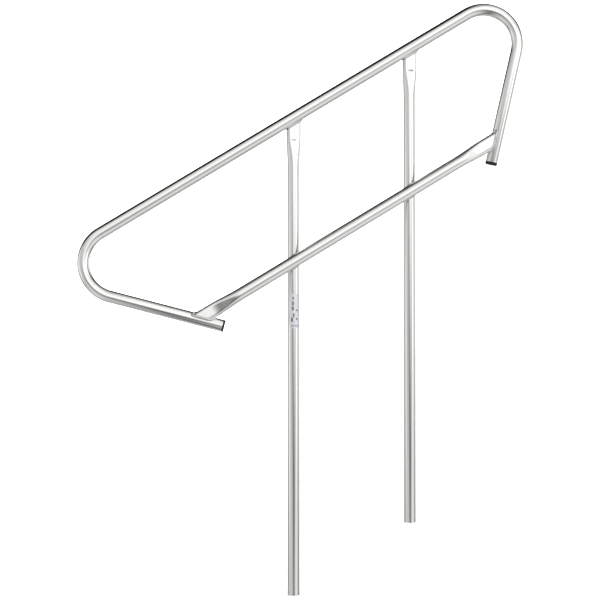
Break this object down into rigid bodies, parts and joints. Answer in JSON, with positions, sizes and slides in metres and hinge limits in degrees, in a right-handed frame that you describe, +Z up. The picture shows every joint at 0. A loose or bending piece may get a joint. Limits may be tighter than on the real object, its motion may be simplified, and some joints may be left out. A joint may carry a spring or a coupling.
{
  "type": "pool handrail",
  "caption": "Welded aluminium pool handrail: a bent tube loop rising at the slope of the steps on two upright posts, with a middle rail and end plugs.",
  "frame": {"origin": "centre of the lower post's foot, in the plane of its cut end", "axes": "+X runs level from the lower post towards the upper post, +Y goes level from the side with the middle rail to the side with the posts, +Z up along the posts"},
  "size_m": [1.1642, 0.0638, 1.5453],
  "materials": {
    "aluminium_tube": "bright drawn tube with faint lengthwise die lines",
    "weld_metal": "as-welded beads, slightly duller than the tube",
    "plug_plastic": "black moulded plastic",
    "label_film": "silvery printed film"
  },
  "bodies": {
    "root": {"top_rail": "aluminium_tube", "mid_rail": "aluminium_tube", "lower_post": "aluminium_tube", "upper_post": "aluminium_tube", "lower_end_plug": "plug_plastic", "upper_end_plug": "plug_plastic", "lower_post_top_weld": "weld_metal", "upper_post_top_weld": "weld_metal", "mid_rail_lower_weld": "weld_metal", "mid_rail_upper_weld": "weld_metal", "lower_crossing_weld_above": "weld_metal", "lower_crossing_weld_below": "weld_metal", "upper_crossing_weld_above": "weld_metal", "upper_crossing_weld_below": "weld_metal", "rating_label": "label_film"}
  },
  "joints": []
}
